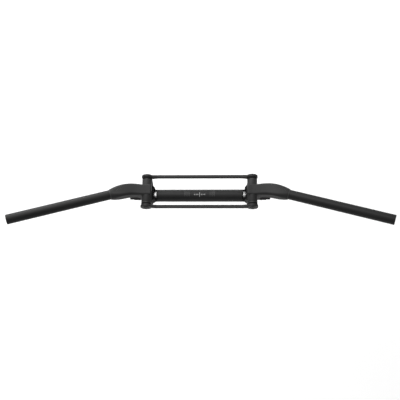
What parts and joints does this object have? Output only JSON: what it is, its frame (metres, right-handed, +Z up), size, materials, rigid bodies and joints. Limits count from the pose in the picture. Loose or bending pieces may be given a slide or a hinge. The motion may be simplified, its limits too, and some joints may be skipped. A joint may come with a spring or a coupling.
{
  "type": "handlebar",
  "caption": "Wide black off-road handlebar whose swept ends pivot on fore-aft pins against elastomers, with a thick clamp tube between two tie rails.",
  "frame": {"origin": "centre of the clamp tube, on its axis", "axes": "+X along the clamp tube to the rider's right, +Y forward, +Z up; the grips sweep back to -Y and rise to +Z"},
  "size_m": [0.8484, 0.1342, 0.1047],
  "materials": {
    "tube_black": "satin black anodised",
    "forging_black": "matt black, shot-peened and anodised",
    "rail_black": "satin black anodised",
    "ground_steel": "ground",
    "black_steel": "black oxide",
    "bright_steel": "bright zinc plate",
    "bronze": "sintered bronze",
    "elastomer": "moulded black elastomer"
  },
  "bodies": {
    "center_section": {"clamp_tube": "tube_black", "front_rail": "rail_black", "rear_rail": "rail_black", "right_yoke": "forging_black", "right_pivot_pin": "ground_steel", "right_pivot_bolts": "black_steel", "right_thrust_washers": "bronze", "right_guide_bushing": "bronze", "right_rebound_elastomer": "elastomer", "right_compression_elastomer": "elastomer", "left_yoke": "forging_black", "left_pivot_pin": "ground_steel", "left_pivot_bolts": "black_steel", "left_thrust_washers": "bronze", "left_guide_bushing": "bronze", "left_rebound_elastomer": "elastomer", "left_compression_elastomer": "elastomer"},
    "right_end": {"right_arm": "forging_black", "right_grip_tube": "tube_black", "right_pivot_bushings": "bronze"},
    "left_end": {"left_arm": "forging_black", "left_grip_tube": "tube_black", "left_pivot_bushings": "bronze"},
    "right_stud_set": {"right_stud": "ground_steel", "right_rebound_nut": "bright_steel", "right_rebound_washer": "bright_steel", "right_cup_washer": "black_steel", "right_preload_nut": "black_steel", "right_jam_nut": "black_steel"},
    "left_stud_set": {"left_stud": "ground_steel", "left_rebound_nut": "bright_steel", "left_rebound_washer": "bright_steel", "left_cup_washer": "black_steel", "left_preload_nut": "black_steel", "left_jam_nut": "black_steel"}
  },
  "joints": [
    {"name": "right_end_flex", "type": "hinge", "parent": "center_section", "child": "right_end", "pos_m": [0.121, 0, 0.028], "axis": [0, 1, 0], "range_deg": [-1.5, 4], "stiffness_Nm_per_rad": 1500, "deforming": ["right_compression_elastomer"]},
    {"name": "right_stud_slide", "type": "slide", "parent": "center_section", "child": "right_stud_set", "axis": [-1, 0, 0], "range_m": [-0.0008, 0.0021], "deforming": ["right_rebound_elastomer"]},
    {"name": "left_end_flex", "type": "hinge", "parent": "center_section", "child": "left_end", "pos_m": [-0.121, 0, 0.028], "axis": [0, -1, 0], "range_deg": [-1.5, 4], "stiffness_Nm_per_rad": 1500, "deforming": ["left_compression_elastomer"]},
    {"name": "left_stud_slide", "type": "slide", "parent": "center_section", "child": "left_stud_set", "axis": [1, 0, 0], "range_m": [-0.0008, 0.0021], "deforming": ["left_rebound_elastomer"]}
  ],
  "couplings": [
    {"joint": "right_stud_slide", "follows": "right_end_flex", "m_per_rad": 0.028},
    {"joint": "left_stud_slide", "follows": "left_end_flex", "m_per_rad": 0.028}
  ]
}
